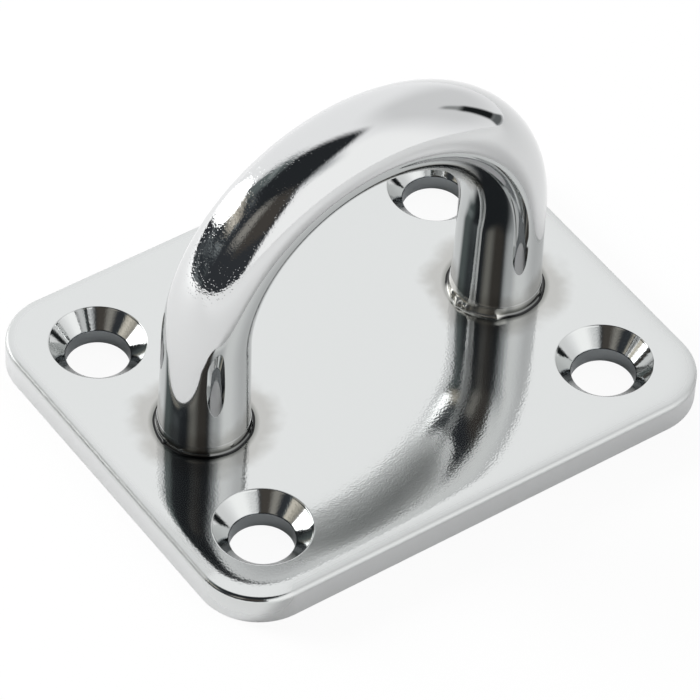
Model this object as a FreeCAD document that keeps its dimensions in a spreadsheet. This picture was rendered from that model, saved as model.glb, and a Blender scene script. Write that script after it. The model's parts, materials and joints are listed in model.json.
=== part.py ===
"""Square pad eye: a countersunk base plate with a round-bar bow set through it and welded at both feet.

The frame: the origin is at the middle of the plate's bottom face, +X runs along the bow's span and
the plate's long side, +Y across it, and +Z up through the bow. All lengths are millimetres.
"""
import FreeCAD, Part
import math
import os

import Sketcher

DOCUMENT_NAME = "square_pad_eye"
SHEET_NAME = "sizes"

# Driving dimensions: alias, value, what it measures
SIZES = (
    ("plate_length", 50.0, "base plate along X"),
    ("plate_width", 40.0, "base plate along Y"),
    ("plate_thickness", 3.0, "base plate sheet"),
    ("plate_corner_radius", 5.6, "plan radius of the plate's four corners"),
    ("plate_top_rounding", 0.5, "radius polished onto the plate's upper edge"),
    ("plate_bottom_rounding", 0.2, "radius left on the plate's lower edge"),
    ("screw_spacing_long", 35.5, "screw hole centres along X"),
    ("screw_spacing_short", 25.2, "screw hole centres along Y"),
    ("screw_hole_diameter", 5.6, "clearance hole for a 5 mm screw"),
    ("countersink_diameter", 8.6, "countersink at the plate's top face"),
    ("countersink_angle", 90.0, "full angle of the countersink, degrees"),
    ("bar_diameter", 7.6, "round bar that the bow is bent from"),
    ("leg_spacing", 30.5, "centre to centre of the bow's two legs"),
    ("leg_rise", 9.85, "straight leg from the plate's top face to the start of the arch"),
    ("leg_hole_clearance", 0.05, "radial gap between a leg and its hole in the plate"),
    ("weld_bead_width", 0.5, "how far the bead round a leg's foot reaches out from the bar"),
    ("weld_bead_height", 1.0, "how far that bead climbs the bar"),
    ("weld_bead_crown", 0.13, "how far its face bulges from a flat fillet"),
    ("weld_prep_depth", 1.0, "45 degree chamfer under each leg hole, filled with weld and ground flush"),
)
WELD_PREP_ANGLE = "90"

LEGS = (("left", -1), ("right", 1))
SCREW_CORNERS = ((-1, -1), (1, -1), (1, 1), (-1, 1))

# Points of a sketch's geometry, and the sketch's own origin
START, END, CENTRE = 1, 2, 3
ORIGIN_GEOMETRY = -1
ORIGIN_POINT = (ORIGIN_GEOMETRY, START)


def make_sheet(doc):
    """Write the driving dimensions as plain numbers with aliases."""
    sheet = doc.addObject("Spreadsheet::Sheet", SHEET_NAME)
    for row, (alias, value, meaning) in enumerate(SIZES, start=1):
        sheet.set(f"A{row}", alias)
        sheet.set(f"B{row}", str(value))
        sheet.set(f"C{row}", meaning)
        sheet.setAlias(f"B{row}", alias)
    doc.recompute()
    return sheet


def read(sheet, alias):
    """The present value of one driving dimension."""
    return float(getattr(sheet, alias))


def bind(feature, path, expression):
    """Tie a property or constraint to an expression whose aliases stand between spaces."""
    aliases = {alias for alias, _, _ in SIZES}
    words = [f"{SHEET_NAME}.{word}" if word in aliases else word for word in expression.split()]
    feature.setExpression(path, " ".join(words))


def new_body(doc, label):
    """Start a sub-part: its label names its file."""
    body = doc.addObject("PartDesign::Body", label)
    body.Label = label
    return body


def new_sketch(body, name, role, height=None):
    """Start a sketch on one of the body's base planes, lifted along its normal if a height is given."""
    sketch = body.newObject("Sketcher::SketchObject", name)
    plane = next(item for item in body.Origin.OriginFeatures if item.Role == role)
    sketch.AttachmentSupport = [(plane, "")]
    sketch.MapMode = "FlatFace"
    if height:
        bind(sketch, ".AttachmentOffset.Base.z", height)
    return sketch


def constrain(sketch, *arguments):
    """Add one geometric constraint."""
    return sketch.addConstraint(Sketcher.Constraint(*arguments))


def dimension(sketch, name, expression, *arguments):
    """Add one named dimension, whose last argument is its starting value, and tie it to the sheet."""
    index = constrain(sketch, *arguments)
    sketch.renameConstraint(index, name)
    bind(sketch, f"Constraints.{name}", expression)


def point(x, y):
    """A point of a sketch."""
    return FreeCAD.Vector(x, y, 0)


def draw_line(sketch, start, end):
    """Add a straight edge and give its index."""
    return sketch.addGeometry(Part.LineSegment(start, end), False)


def draw_loop(sketch, corners):
    """Join corners by straight edges into a closed loop and give the edges' indices."""
    edges = [draw_line(sketch, here, there) for here, there in zip(corners, corners[1:] + corners[:1])]
    for before, after in zip(edges, edges[1:] + edges[:1]):
        constrain(sketch, "Coincident", before, END, after, START)
    return edges


def draw_circle(sheet, sketch, name, diameter, x, y=None):
    """Draw a circle on the sketch's X axis, or off it if y is given.

    diameter is a size or an expression. x and y are pairs of a sign and the alias of a spacing: the
    centre stands half that spacing from the sketch's origin.
    """
    starting_radius = 1.0
    x_sign, x_spacing = x
    x_start = x_sign * read(sheet, x_spacing) / 2
    y_sign, y_spacing = y or (0, None)
    y_start = y_sign * read(sheet, y_spacing) / 2 if y else 0
    circle = sketch.addGeometry(
        Part.Circle(point(x_start, y_start), FreeCAD.Vector(0, 0, 1), starting_radius), False)
    dimension(sketch, f"{name}_diameter", diameter, "Diameter", circle, 2 * starting_radius)
    dimension(
        sketch, f"{name}_x", f"{x_sign} * {x_spacing} / 2",
        "DistanceX", *ORIGIN_POINT, circle, CENTRE, x_start)
    if y:
        dimension(
            sketch, f"{name}_y", f"{y_sign} * {y_spacing} / 2",
            "DistanceY", *ORIGIN_POINT, circle, CENTRE, y_start)
    else:
        constrain(sketch, "PointOnObject", circle, CENTRE, ORIGIN_GEOMETRY)


def round_edges(doc, body, name, base, is_wanted, radius):
    """Round those edges of the base feature whose box passes a test."""
    doc.recompute()
    wanted = [
        f"Edge{number}" for number, edge in enumerate(base.Shape.Edges, start=1) if is_wanted(edge.BoundBox)]
    fillet = body.newObject("PartDesign::Fillet", name)
    fillet.Base = (base, wanted)
    bind(fillet, "Radius", radius)
    return fillet


def drill(doc, body, name, centres, diameter, rim_diameter, rim_angle, upwards=False):
    """Drill a through hole with a conical rim at every circle of a sketch."""
    doc.recompute()
    before = body.Shape.Volume
    hole = body.newObject("PartDesign::Hole", name)
    hole.Profile = centres
    hole.ThreadType = "None"
    hole.DepthType = "ThroughAll"
    hole.HoleCutType = "Countersink"
    hole.HoleCutCustomValues = True
    hole.Reversed = upwards
    bind(hole, "Diameter", diameter)
    bind(hole, "HoleCutDiameter", rim_diameter)
    bind(hole, "HoleCutCountersinkAngle", rim_angle)
    doc.recompute()
    if body.Shape.Volume >= before:
        raise RuntimeError(f"{name} removed nothing")


def make_plate_blank(doc, sheet, body):
    """The plate before drilling: a rectangle of sheet with round corners and polished-off edges."""
    half_length = read(sheet, "plate_length") / 2
    half_width = read(sheet, "plate_width") / 2
    outline = new_sketch(body, "plate_outline", "XY_Plane")
    front, right, back, left = draw_loop(outline, [
        point(-half_length, -half_width), point(half_length, -half_width),
        point(half_length, half_width), point(-half_length, half_width)])
    for side in (front, back):
        constrain(outline, "Horizontal", side)
    for side in (right, left):
        constrain(outline, "Vertical", side)
    constrain(outline, "Symmetric", front, START, back, START, *ORIGIN_POINT)
    dimension(outline, "length", "plate_length", "DistanceX", front, START, front, END, 2 * half_length)
    dimension(outline, "width", "plate_width", "DistanceY", right, START, right, END, 2 * half_width)
    slab = body.newObject("PartDesign::Pad", "plate_slab")
    slab.Profile = outline
    bind(slab, "Length", "plate_thickness")

    near = 1e-6
    top = read(sheet, "plate_thickness") - near
    corners = round_edges(
        doc, body, "plate_corners", slab, lambda box: box.ZLength > top, "plate_corner_radius")
    upper = round_edges(
        doc, body, "plate_upper_edge", corners, lambda box: box.ZMin > top, "plate_top_rounding")
    round_edges(
        doc, body, "plate_lower_edge", upper, lambda box: box.ZMax < near, "plate_bottom_rounding")


def make_base_plate(doc, sheet):
    """Plate with four countersunk screw holes and two leg holes that are chamfered underneath."""
    body = new_body(doc, "base_plate")
    make_plate_blank(doc, sheet, body)

    screws = new_sketch(body, "screw_centres", "XY_Plane", height="plate_thickness")
    for number, (x_sign, y_sign) in enumerate(SCREW_CORNERS, start=1):
        draw_circle(
            sheet, screws, f"screw_{number}", "screw_hole_diameter",
            (x_sign, "screw_spacing_long"), (y_sign, "screw_spacing_short"))
    drill(
        doc, body, "screw_holes", screws,
        "screw_hole_diameter", "countersink_diameter", "countersink_angle")

    legs = new_sketch(body, "leg_centres", "XY_Plane")
    leg_hole = "bar_diameter + 2 * leg_hole_clearance"
    for side, sign in LEGS:
        draw_circle(sheet, legs, f"{side}_leg", leg_hole, (sign, "leg_spacing"))
    drill(
        doc, body, "leg_holes", legs,
        leg_hole, f"{leg_hole} + 2 * weld_prep_depth", WELD_PREP_ANGLE, upwards=True)
    return body


def make_bow(doc, sheet):
    """Round bar bent to a half circle, with straight legs that end flush with the plate's bottom face."""
    radius = read(sheet, "leg_spacing") / 2
    straight = read(sheet, "plate_thickness") + read(sheet, "leg_rise")
    body = new_body(doc, "bow")
    section = new_sketch(body, "bar_section", "XY_Plane")
    draw_circle(sheet, section, "bar", "bar_diameter", (-1, "leg_spacing"))

    route = new_sketch(body, "bar_route", "XZ_Plane")
    left_foot, left_shoulder = point(-radius, 0), point(-radius, straight)
    right_foot, right_shoulder = point(radius, 0), point(radius, straight)
    crown = point(0, straight + radius)
    up = draw_line(route, left_foot, left_shoulder)
    arch = route.addGeometry(Part.Arc(right_shoulder, crown, left_shoulder), False)
    down = draw_line(route, right_shoulder, right_foot)
    constrain(route, "Tangent", up, END, arch, END)
    constrain(route, "Tangent", arch, START, down, START)
    constrain(route, "Vertical", up)
    constrain(route, "Vertical", down)
    constrain(route, "PointOnObject", up, START, ORIGIN_GEOMETRY)
    constrain(route, "Symmetric", up, START, down, END, *ORIGIN_POINT)
    dimension(route, "spacing", "leg_spacing", "DistanceX", up, START, down, END, 2 * radius)
    dimension(route, "straight", "plate_thickness + leg_rise", "DistanceY", up, START, up, END, straight)

    pipe = body.newObject("PartDesign::AdditivePipe", "bent_bar")
    pipe.Profile = section
    pipe.Spine = route
    doc.recompute()

    length = 2 * straight + math.pi * radius
    expected = math.pi * read(sheet, "bar_diameter") ** 2 / 4 * length
    if not math.isclose(body.Shape.Volume, expected, rel_tol=1e-3):
        raise RuntimeError("the bow is not as much bar as its section times its length")
    return body


def turn_ring(body, name, section, sign):
    """Turn a half section about the sketch's upright axis and set the ring on a leg's centre line."""
    ring = body.newObject("PartDesign::Revolution", name)
    ring.Profile = section
    ring.ReferenceAxis = (section, ["V_Axis"])
    ring.Angle = 360.0
    bind(body, ".Placement.Base.x", f"{sign} * leg_spacing / 2")


def make_weld_bead(doc, sheet, side, sign):
    """Bead of weld in the corner between a leg and the plate's top face, with a bulging face."""
    inner = read(sheet, "bar_diameter") / 2
    seat = read(sheet, "plate_thickness")
    width = read(sheet, "weld_bead_width")
    height = read(sheet, "weld_bead_height")
    crown = read(sheet, "weld_bead_crown")
    chord = math.hypot(width, height)
    root, toe, top = point(inner, seat), point(inner + width, seat), point(inner, seat + height)
    outward = point(height / chord, width / chord)

    body = new_body(doc, f"{side}_weld_bead")
    section = new_sketch(body, f"{side}_bead_section", "XZ_Plane")
    foot = draw_line(section, root, toe)
    face = section.addGeometry(Part.Arc(toe, (toe + top) * 0.5 + outward * crown, top), False)
    wall = draw_line(section, top, root)
    for before, after in ((foot, face), (face, wall), (wall, foot)):
        constrain(section, "Coincident", before, END, after, START)
    constrain(section, "Horizontal", foot)
    constrain(section, "Vertical", wall)
    dimension(section, "inner", "bar_diameter / 2", "DistanceX", *ORIGIN_POINT, foot, START, inner)
    dimension(section, "seat", "plate_thickness", "DistanceY", *ORIGIN_POINT, foot, START, seat)
    dimension(section, "width", "weld_bead_width", "DistanceX", foot, START, foot, END, width)
    dimension(section, "height", "weld_bead_height", "DistanceY", wall, END, wall, START, height)
    # A bulge b over a chord c belongs to an arc of radius (c^2 / 4 + b^2) / (2 b)
    chord_squared = "( weld_bead_width ^ 2 + weld_bead_height ^ 2 )"
    dimension(
        section, "roundness",
        f"( {chord_squared} / 4 + weld_bead_crown ^ 2 ) / ( 2 * weld_bead_crown )",
        "Radius", face, (chord ** 2 / 4 + crown ** 2) / (2 * crown))
    turn_ring(body, f"{side}_bead_ring", section, sign)
    return body


def make_underside_weld(doc, sheet, side, sign):
    """Weld that fills the chamfer under a leg hole, ground flush with the plate's bottom face."""
    inner = read(sheet, "bar_diameter") / 2
    gap = read(sheet, "leg_hole_clearance")
    depth = read(sheet, "weld_prep_depth")

    body = new_body(doc, f"{side}_underside_weld")
    section = new_sketch(body, f"{side}_fill_section", "XZ_Plane")
    floor, slope, root, wall = draw_loop(section, [
        point(inner, 0), point(inner + gap + depth, 0), point(inner + gap, depth), point(inner, depth)])
    constrain(section, "PointOnObject", floor, START, ORIGIN_GEOMETRY)
    constrain(section, "Horizontal", floor)
    constrain(section, "Horizontal", root)
    constrain(section, "Vertical", wall)
    dimension(section, "inner", "bar_diameter / 2", "DistanceX", *ORIGIN_POINT, floor, START, inner)
    dimension(section, "gap", "leg_hole_clearance", "DistanceX", root, END, root, START, gap)
    dimension(
        section, "reach", "leg_hole_clearance + weld_prep_depth",
        "DistanceX", floor, START, floor, END, gap + depth)
    dimension(section, "depth", "weld_prep_depth", "DistanceY", wall, END, wall, START, depth)
    turn_ring(body, f"{side}_fill_ring", section, sign)
    return body


def check(doc, parts):
    """Stop if any object failed, or any sub-part is not one valid solid."""
    doc.recompute()
    for item in doc.Objects:
        faults = {"Invalid", "Error"} & set(item.State)
        if faults:
            raise RuntimeError(f"{item.Label}: {sorted(faults)}")
    for part in parts:
        shape = part.Shape
        if shape.isNull() or not shape.isValid() or len(shape.Solids) != 1:
            raise RuntimeError(f"{part.Label} is not one valid solid")


def write(parts):
    """Write one file for each sub-part."""
    os.makedirs("parts", exist_ok=True)
    for part in parts:
        part.Shape.exportStep(f"parts/{part.Label}.step")
        print(f"{part.Label}: {part.Shape.Volume:.2f} mm3")


def main():
    """Build the pad eye and write its sub-parts."""
    doc = FreeCAD.newDocument(DOCUMENT_NAME)
    sheet = make_sheet(doc)
    parts = [make_base_plate(doc, sheet), make_bow(doc, sheet)]
    for side, sign in LEGS:
        parts.append(make_weld_bead(doc, sheet, side, sign))
        parts.append(make_underside_weld(doc, sheet, side, sign))
    check(doc, parts)
    write(parts)


main()
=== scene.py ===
"""Looks of a square pad eye: mirror-polished stainless steel on a white sweep.

Every length in the classes below is in millimetres, and the meshes are scaled to metres as they are
finished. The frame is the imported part's own: the origin is at the middle of the plate's bottom face,
+X runs along the bow's span, +Y across the plate and +Z up through the bow.
"""

import json
import logging
import math
from dataclasses import dataclass
from enum import Enum

import bmesh
import bpy
from bmesh.types import BMEdge, BMesh, BMVert
from mathutils import Matrix, Quaternion, Vector


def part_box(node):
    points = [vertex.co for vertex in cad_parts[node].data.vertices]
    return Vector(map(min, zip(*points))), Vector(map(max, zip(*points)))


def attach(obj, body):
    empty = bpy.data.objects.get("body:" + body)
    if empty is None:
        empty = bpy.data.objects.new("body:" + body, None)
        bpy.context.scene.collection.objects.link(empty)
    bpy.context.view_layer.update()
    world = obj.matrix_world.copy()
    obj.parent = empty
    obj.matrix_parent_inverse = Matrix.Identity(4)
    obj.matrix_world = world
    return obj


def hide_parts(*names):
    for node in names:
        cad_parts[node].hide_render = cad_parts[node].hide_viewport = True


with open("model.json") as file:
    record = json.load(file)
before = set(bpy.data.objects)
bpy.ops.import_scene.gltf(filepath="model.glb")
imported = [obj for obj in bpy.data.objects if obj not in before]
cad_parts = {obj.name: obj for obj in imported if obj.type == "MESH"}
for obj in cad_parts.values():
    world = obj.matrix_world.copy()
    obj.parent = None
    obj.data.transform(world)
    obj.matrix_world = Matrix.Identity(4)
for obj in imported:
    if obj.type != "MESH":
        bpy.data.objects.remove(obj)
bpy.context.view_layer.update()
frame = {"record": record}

LOG = logging.getLogger("pad_eye")
ROOT_BODY = "root"
METRES = 0.001
SHARP_ANGLE = math.radians(35)
# Points nearer than this, in millimetres, are one point.
SAME_PLACE = 1e-5
# How much more a large face counts than a small one for the normals that they share, in Blender's units.
LARGE_FACE_WEIGHT = 100

IMAGE_WIDTH = 700
SENSOR_WIDTH = 36.0

# Node settings that several materials share: an eased step, a mix of two colours, and two kinds of noise.
EASED = {"interpolation_type": "SMOOTHSTEP"}
COLOUR_MIX = {"data_type": "RGBA"}
RAGGED_NOISE = {"Detail": 2.0, "Roughness": 0.5}
PEEL_NOISE = {"Detail": 1.0, "Roughness": 0.4}

Point = tuple[float, float]
Colour = tuple[float, float, float, float]
Material = bpy.types.Material
Tree = bpy.types.NodeTree
Socket = bpy.types.NodeSocket


class Side(Enum):
    """The two feet of the bow, by the sign of X."""

    LEFT = -1
    RIGHT = 1

    @property
    def word(self) -> str:
        """The side's name as the frame's nodes spell it."""
        return self.name.lower()


class Slot(str, Enum):
    """The record's material slots."""

    PLATE = "polished_plate"
    BAR = "polished_bar"
    WELD = "polished_weld"
    GROUND = "ground_weld"


def linear(code: str) -> Colour:
    """Turn an sRGB hex code into a linear colour.

    Args:
        code: Six hex digits after a hash sign.

    Returns:
        Red, green, blue and alpha, as the shaders take them.
    """
    shares = [int(code[start:start + 2], 16) / 255 for start in (1, 3, 5)]
    curved = [s / 12.92 if s <= 0.04045 else ((s + 0.055) / 1.055) ** 2.4 for s in shares]
    return (*curved, 1.0)


def add_node(
    tree: Tree, kind: str, settings: dict | None = None, sockets: dict | None = None
) -> bpy.types.Node:
    """Add one node to a tree.

    Args:
        tree: The material's or world's node tree.
        kind: Blender's name for the node type.
        settings: The node's own properties.
        sockets: What each input takes, by name or number: another node's output, or a value.

    Returns:
        The new node.
    """
    node = tree.nodes.new(kind)
    for name, value in (settings or {}).items():
        setattr(node, name, value)
    for name, value in (sockets or {}).items():
        if isinstance(value, Socket):
            tree.links.new(value, node.inputs[name])
        else:
            node.inputs[name].default_value = value
    return node


def new_material(name: str) -> Material:
    """Make a material whose node tree is empty.

    Args:
        name: What the finish is called.

    Returns:
        The material.
    """
    material = bpy.data.materials.new(name)
    material.use_nodes = True
    material.node_tree.nodes.clear()
    return material


def bare_steel(
    made: Material, colour: Colour | Socket, roughness: float | Socket, normal: Socket
) -> Material:
    """Close a finish's node tree with a bare metal surface.

    Args:
        made: The material.
        colour: The steel's colour.
        roughness: How far it blurs what it mirrors.
        normal: Its bumped normal.

    Returns:
        The same material, finished.
    """
    shader = add_node(
        made.node_tree, "ShaderNodeBsdfPrincipled", None,
        {"Base Color": colour, "Metallic": 1.0, "Roughness": roughness, "Normal": normal})
    add_node(made.node_tree, "ShaderNodeOutputMaterial", None, {"Surface": shader.outputs[0]})
    return made


def shone(code: str, level: float) -> Colour:
    """Give a light's linear colour at a level."""
    return (*(Vector(linear(code)[:3]) * level), 1.0)


def clamped(share: float, least: float = 0.0) -> float:
    """Hold a share between its least value and 1."""
    return min(max(share, least), 1.0)


def direction(azimuth: float, elevation: float) -> Vector:
    """Give the unit vector that looks along an azimuth and an elevation, both in degrees."""
    turn, rise = math.radians(azimuth), math.radians(elevation)
    return Vector((math.cos(turn) * math.cos(rise), math.sin(turn) * math.cos(rise), math.sin(rise)))


def turned(mesh: BMesh, profile: list[Point], centre: Vector, steps: int) -> list[BMVert]:
    """Turn a profile once round an upright axis, as on a lathe.

    Args:
        mesh: The mesh that takes the new surface.
        profile: Radius and height of each point, in order.
        centre: A point on the axis.
        steps: How many flats the circle has.

    Returns:
        The vertices of the new surface.
    """
    known = set(mesh.verts)
    points = [mesh.verts.new(centre + Vector((radius, 0.0, height))) for radius, height in profile]
    edges = [mesh.edges.new(pair) for pair in zip(points, points[1:])]
    bmesh.ops.spin(
        mesh, geom=points + edges, cent=centre, axis=(0.0, 0.0, 1.0), angle=math.tau,
        steps=steps, use_merge=True)
    return [vert for vert in mesh.verts if vert not in known]


def arc(centre: Point, radius: float, start: float, end: float, steps: int) -> list[Point]:
    """List points on an arc of a profile, from one angle to another, in degrees."""
    angles = [math.radians(start + (end - start) * step / steps) for step in range(steps + 1)]
    return [(centre[0] + radius * math.cos(a), centre[1] + radius * math.sin(a)) for a in angles]


def level_edges(mesh: BMesh, height: float, open_only: bool) -> list[BMEdge]:
    """Find the edges that lie at one height.

    Args:
        mesh: The mesh to search.
        height: Where the edges lie, in millimetres.
        open_only: Whether only edges with at most one face count.

    Returns:
        The edges.
    """
    return [
        edge for edge in mesh.edges
        if all(abs(vert.co.z - height) < SAME_PLACE for vert in edge.verts)
        and (len(edge.link_faces) < 2 or not open_only)]


def finish_piece(
    name: str, mesh: BMesh, material: Material, node: str, weighted: bool
) -> bpy.types.Object:
    """Turn a bmesh into a piece that stands for a node of the frame.

    Args:
        name: The piece's name.
        mesh: Its mesh in millimetres, which is freed.
        material: Its finish.
        node: The node that it replaces.
        weighted: Whether flat faces keep their own normals beside small roundings.

    Returns:
        The finished object, at the origin.
    """
    bmesh.ops.remove_doubles(mesh, verts=mesh.verts, dist=SAME_PLACE)
    bmesh.ops.recalc_face_normals(mesh, faces=mesh.faces)
    bmesh.ops.scale(mesh, vec=Vector.Fill(3, METRES), verts=mesh.verts)
    for face in mesh.faces:
        face.smooth = True
    for edge in mesh.edges:
        edge.smooth = edge.calc_face_angle(0.0) < SHARP_ANGLE
    data = bpy.data.meshes.new(name)
    mesh.to_mesh(data)
    mesh.free()
    piece = bpy.data.objects.new(name, data)
    bpy.context.scene.collection.objects.link(piece)
    data.materials.append(material)
    if weighted:
        modifier = piece.modifiers.new("flat_faces_keep_their_normals", "WEIGHTED_NORMAL")
        modifier.weight = LARGE_FACE_WEIGHT
        modifier.keep_sharp = True
    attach(piece, ROOT_BODY)
    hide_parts(node)
    LOG.info("%s: %d faces, stands for %s", name, len(data.polygons), node)
    return piece


def store(piece: bpy.types.Object, name: str, values: list[float]) -> None:
    """Store one value for each vertex of a piece, for its finish to read."""
    piece.data.attributes.new(name, "FLOAT", "POINT").data.foreach_set("value", values)


@dataclass(frozen=True)
class PadEyeSizes:
    """Sizes that every piece shares, in millimetres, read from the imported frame."""

    plate_length: float
    plate_width: float
    plate_thickness: float
    bar_radius: float
    leg_spacing: float
    arch_height: float
    bead_radius: float
    bead_top: float
    fill_radius: float
    fill_depth: float
    screw_spacing: tuple[float, float]
    screw_radius: float

    @classmethod
    def from_frame(cls) -> "PadEyeSizes":
        """Measure the frame's nodes and read its screw pattern.

        Returns:
            The sizes.
        """
        plate_low, plate_high = (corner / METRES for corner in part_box("base_plate"))
        bow_low, bow_high = (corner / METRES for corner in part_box("bow"))
        bead_low, bead_high = (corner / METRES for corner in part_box("right_weld_bead"))
        fill_low, fill_high = (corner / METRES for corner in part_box("right_underside_weld"))
        pattern = next(m for m in frame["record"]["mounts"] if m["name"] == "screw_holes")["dims"]
        bar_radius = (bow_high.y - bow_low.y) / 2
        leg_spacing = bow_high.x - bow_low.x - 2 * bar_radius
        return cls(
            plate_length=plate_high.x - plate_low.x,
            plate_width=plate_high.y - plate_low.y,
            plate_thickness=plate_high.z - plate_low.z,
            bar_radius=bar_radius,
            leg_spacing=leg_spacing,
            arch_height=bow_high.z - bar_radius - leg_spacing / 2,
            bead_radius=(bead_high.y - bead_low.y) / 2,
            bead_top=bead_high.z,
            fill_radius=(fill_high.y - fill_low.y) / 2,
            fill_depth=fill_high.z,
            screw_spacing=(pattern["spacing_x_mm"], pattern["spacing_y_mm"]),
            screw_radius=pattern["hole_r_mm"])

    def foot(self, side: Side) -> Vector:
        """Give the point on the deck under one leg."""
        return Vector((side.value * self.leg_spacing / 2, 0.0, 0.0))


@dataclass(frozen=True)
class PolishedSheet:
    """Rolled 316 sheet, buffed to a mirror after its holes were sunk and its bow was welded.

    The eye sees a near mirror with a faint orange peel that breaks up the edges of what it reflects. Where
    the weld's heat reached the sheet, a grey bloom with a ragged edge lies round each foot, and a darker
    scale lies along the weld's toe. The walls are duller, where the wheel ran over the edges, and their
    steel is drawn lighter as painted light; the bores' steel is drawn darker as painted shade. The peel is
    drawn coarser than the real one, which is too fine to show.
    """

    name: str = "mirror_polished_stainless_sheet"
    steel: str = "#CFD1D0"
    # The walls' lighter steel is painted light, which brightens what they mirror.
    wall_painted_light: str = "#E4E5E5"
    # The bores' darker steel is painted shade down in the holes.
    bore_painted_shade: str = "#A5A9AB"
    heat_bloom: str = "#B5B5B2"
    heat_scale: str = "#8C8D89"
    # Distances from the leg's foot over which the scale and the bloom fade, and how ragged the bloom is.
    scale_start: float = 4.35
    scale_end: float = 4.85
    bloom_start: float = 6.2
    bloom_end: float = 8.2
    ragged_length: float = 2.5
    ragged_depth: float = 2.4
    roughness: float = 0.065
    bloom_roughness: float = 0.09
    rim_roughness: float = 0.38
    # How far in from the wall the rim is fully dull, and how far in it ends.
    rim_full: float = 0.5
    rim_reach: float = 1.3
    # Below the first height the wall has its painted light, and above the second the sheet's own tone.
    wall_full: float = 2.2
    wall_fades: float = 2.7
    peel_grain: float = 0.17
    peel_depth: float = 0.0032
    wave_length: float = 6.0
    wave_depth: float = 0.02
    wobble_length: float = 0.7
    wobble_depth: float = 0.012
    rim_attribute: str = "rim"
    bore_shade_attribute: str = "bore"

    def material(self, leg_offset: float, plate_top: float) -> Material:
        """Build the finish.

        Args:
            leg_offset: How far each foot stands from the middle along X, in millimetres.
            plate_top: Height of the plate's top face.

        Returns:
            The material.
        """
        made = new_material(self.name)
        tree = made.node_tree
        place = add_node(tree, "ShaderNodeTexCoord").outputs["Object"]
        fold = add_node(tree, "ShaderNodeVectorMath", {"operation": "ABSOLUTE"}, {0: place})
        from_leg = add_node(
            tree, "ShaderNodeVectorMath", {"operation": "SUBTRACT"},
            {0: fold.outputs[0], 1: (leg_offset * METRES, 0.0, plate_top * METRES)})
        reach = add_node(tree, "ShaderNodeVectorMath", {"operation": "LENGTH"}, {0: from_leg.outputs[0]})
        ragged = add_node(
            tree, "ShaderNodeTexNoise", None,
            {"Vector": place, "Scale": 1 / (self.ragged_length * METRES), **RAGGED_NOISE})
        edge = add_node(
            tree, "ShaderNodeMath", {"operation": "MULTIPLY_ADD"},
            {0: ragged.outputs["Fac"], 1: self.ragged_depth * METRES, 2: reach.outputs["Value"]})
        height = add_node(tree, "ShaderNodeSeparateXYZ", None, {0: place}).outputs["Z"]
        bloom, scale, below = (
            add_node(
                tree, "ShaderNodeMapRange", EASED,
                {"Value": value, "From Min": start * METRES, "From Max": end * METRES,
                 "To Min": 1.0, "To Max": 0.0}).outputs["Result"]
            for value, start, end in (
                (edge.outputs[0], self.bloom_start, self.bloom_end),
                (reach.outputs["Value"], self.scale_start, self.scale_end),
                (height, self.wall_full, self.wall_fades)))
        rim, bore = (
            add_node(tree, "ShaderNodeAttribute", {"attribute_name": name}).outputs["Fac"]
            for name in (self.rim_attribute, self.bore_shade_attribute))
        # Where the walls' painted light goes: the rim's share, below the wall's top.
        wall = add_node(tree, "ShaderNodeMath", {"operation": "MULTIPLY"}, {0: rim, 1: below}).outputs[0]
        colour: Socket | Colour = linear(self.steel)
        # The wall's mix is painted light and the bore's is painted shade; the bloom and the scale are heat
        # tint.
        for share, code in (
                (bloom, self.heat_bloom), (scale, self.heat_scale), (wall, self.wall_painted_light),
                (bore, self.bore_painted_shade)):
            mix = add_node(
                tree, "ShaderNodeMix", COLOUR_MIX, {"Factor": share, "A": colour, "B": linear(code)})
            colour = mix.outputs["Result"]
        haze = add_node(
            tree, "ShaderNodeMapRange", None,
            {"Value": bloom, "To Min": self.roughness, "To Max": self.bloom_roughness})
        dull = add_node(
            tree, "ShaderNodeMix", {"data_type": "FLOAT"},
            {"Factor": rim, "A": haze.outputs["Result"], "B": self.rim_roughness})
        normal = polished_bumps(
            tree, place, (self.peel_grain, self.peel_depth, None),
            (self.wobble_length, self.wobble_depth, rim), (self.wave_length, self.wave_depth, None))
        return bare_steel(made, colour, dull.outputs["Result"], normal)


def polished_bumps(tree: Tree, place: Socket, *layers: tuple[float, float, Socket | None]) -> Socket:
    """Stack layers of noise bump, each a wave length and a depth in millimetres and a share or None.

    Args:
        tree: The material's node tree.
        place: Object coordinates.
        layers: From the finest to the broadest.

    Returns:
        The bumped normal.
    """
    normal = None
    for length, depth, share in layers:
        noise = add_node(
            tree, "ShaderNodeTexNoise", None,
            {"Vector": place, "Scale": 1 / (length * METRES), **PEEL_NOISE})
        sockets = {"Height": noise.outputs["Fac"], "Distance": depth * METRES}
        if share is not None:
            sockets["Strength"] = share
        if normal is not None:
            sockets["Normal"] = normal
        normal = add_node(tree, "ShaderNodeBump", None, sockets).outputs["Normal"]
    return normal


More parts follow.
